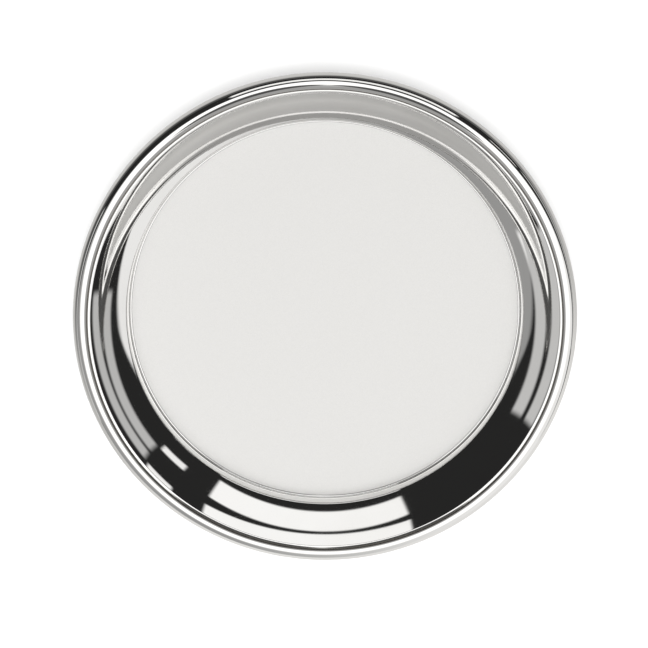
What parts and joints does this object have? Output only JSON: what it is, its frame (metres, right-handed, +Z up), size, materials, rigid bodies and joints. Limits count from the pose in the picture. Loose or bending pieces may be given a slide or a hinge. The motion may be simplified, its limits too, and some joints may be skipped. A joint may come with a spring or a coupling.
{
  "type": "paten plate",
  "caption": "Round shallow metal dish with a flat satin floor, a mirror-polished ogee border, a rolled rim and a low foot ring.",
  "frame": {"origin": "on the plate's axis, at the underside of the foot ring", "axes": "+Z up along the plate's axis, out of the well; X and Y are equal"},
  "size_m": [0.254, 0.254, 0.0277],
  "materials": {
    "plate_metal": "mirror-polished border, fine satin floor",
    "rim_metal": "mirror-polished",
    "foot_metal": "polished, worn underneath",
    "solder": "dull"
  },
  "bodies": {
    "root": {"plate_body": "plate_metal", "rim_moulding": "rim_metal", "rim_solder": "solder", "foot_ring": "foot_metal", "foot_solder": "solder"}
  },
  "joints": []
}
